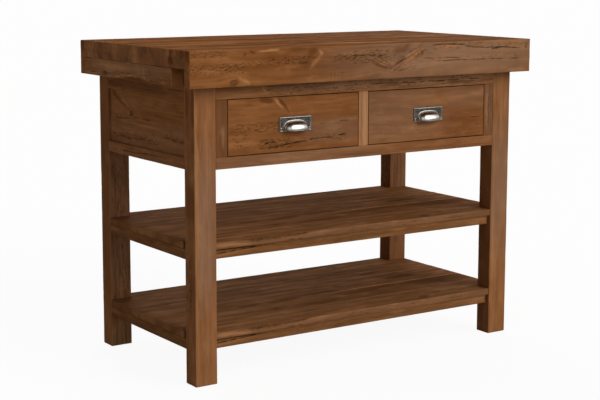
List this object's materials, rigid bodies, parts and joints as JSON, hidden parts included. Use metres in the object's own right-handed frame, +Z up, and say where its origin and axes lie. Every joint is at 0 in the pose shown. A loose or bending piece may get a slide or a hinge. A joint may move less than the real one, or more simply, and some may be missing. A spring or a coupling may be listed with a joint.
{
  "type": "kitchen island",
  "caption": "Free-standing kitchen island in stained, weathered pine: thick plank worktop, inset drawers with nickel cup pulls and open plank shelves on square legs.",
  "frame": {"origin": "on the floor below the middle of the worktop", "axes": "+Z up, +X along the length to the right as seen from the front, -Y towards the front with the drawers"},
  "size_m": [1.2, 0.66, 0.925],
  "materials": {
    "worktop_wood": "weathered pine, mid-brown stain and wax",
    "frame_wood": "pine, brown stain and wax",
    "panel_wood": "pine, brown stain and wax",
    "drawer_front_wood": "weathered pine, brown stain and wax",
    "shelf_wood": "pine, dark brown stain and wax",
    "inner_wood": "planed pine, clear wax",
    "pull_metal": "polished nickel",
    "screw_steel": "zinc-plated"
  },
  "bodies": {
    "frame": {"leg_front_left": "frame_wood", "leg_front_right": "frame_wood", "leg_back_left": "frame_wood", "leg_back_right": "frame_wood", "front_top_rail": "frame_wood", "front_bottom_rail": "frame_wood", "front_stile_left": "frame_wood", "front_stile_right": "frame_wood", "front_centre_stile": "frame_wood", "back_top_rail": "frame_wood", "back_bottom_rail": "frame_wood", "left_top_rail": "frame_wood", "left_bottom_rail": "frame_wood", "right_top_rail": "frame_wood", "right_bottom_rail": "frame_wood", "back_panel": "panel_wood", "left_panel": "panel_wood", "right_panel": "panel_wood", "top_front_plank": "worktop_wood", "top_middle_planks": "worktop_wood", "top_back_plank": "worktop_wood", "front_fascia": "worktop_wood", "back_fascia": "worktop_wood", "left_end_batten": "worktop_wood", "right_end_batten": "worktop_wood", "worktop_buttons": "inner_wood", "worktop_screws": "screw_steel", "upper_shelf_front_plank": "shelf_wood", "upper_shelf_middle_planks": "shelf_wood", "upper_shelf_back_plank": "shelf_wood", "upper_shelf_front_rail": "shelf_wood", "upper_shelf_back_rail": "shelf_wood", "upper_shelf_side_rails": "shelf_wood", "upper_shelf_bearer": "shelf_wood", "lower_shelf_front_plank": "shelf_wood", "lower_shelf_middle_planks": "shelf_wood", "lower_shelf_back_plank": "shelf_wood", "lower_shelf_front_rail": "shelf_wood", "lower_shelf_back_rail": "shelf_wood", "lower_shelf_side_rails": "shelf_wood", "lower_shelf_bearer": "shelf_wood", "drawer_runners": "inner_wood", "drawer_guides": "inner_wood", "drawer_kickers": "inner_wood", "drawer_stops": "inner_wood"},
    "left_drawer": {"left_drawer_front": "drawer_front_wood", "left_drawer_side_left": "inner_wood", "left_drawer_side_right": "inner_wood", "left_drawer_back": "inner_wood", "left_drawer_bottom": "inner_wood", "left_drawer_pull": "pull_metal", "left_drawer_pull_screws": "pull_metal"},
    "right_drawer": {"right_drawer_front": "drawer_front_wood", "right_drawer_side_left": "inner_wood", "right_drawer_side_right": "inner_wood", "right_drawer_back": "inner_wood", "right_drawer_bottom": "inner_wood", "right_drawer_pull": "pull_metal", "right_drawer_pull_screws": "pull_metal"}
  },
  "joints": [
    {"name": "left_drawer_slide", "type": "slide", "parent": "frame", "child": "left_drawer", "axis": [0, -1, 0], "range_m": [0, 0.36]},
    {"name": "right_drawer_slide", "type": "slide", "parent": "frame", "child": "right_drawer", "axis": [0, -1, 0], "range_m": [0, 0.36]}
  ]
}
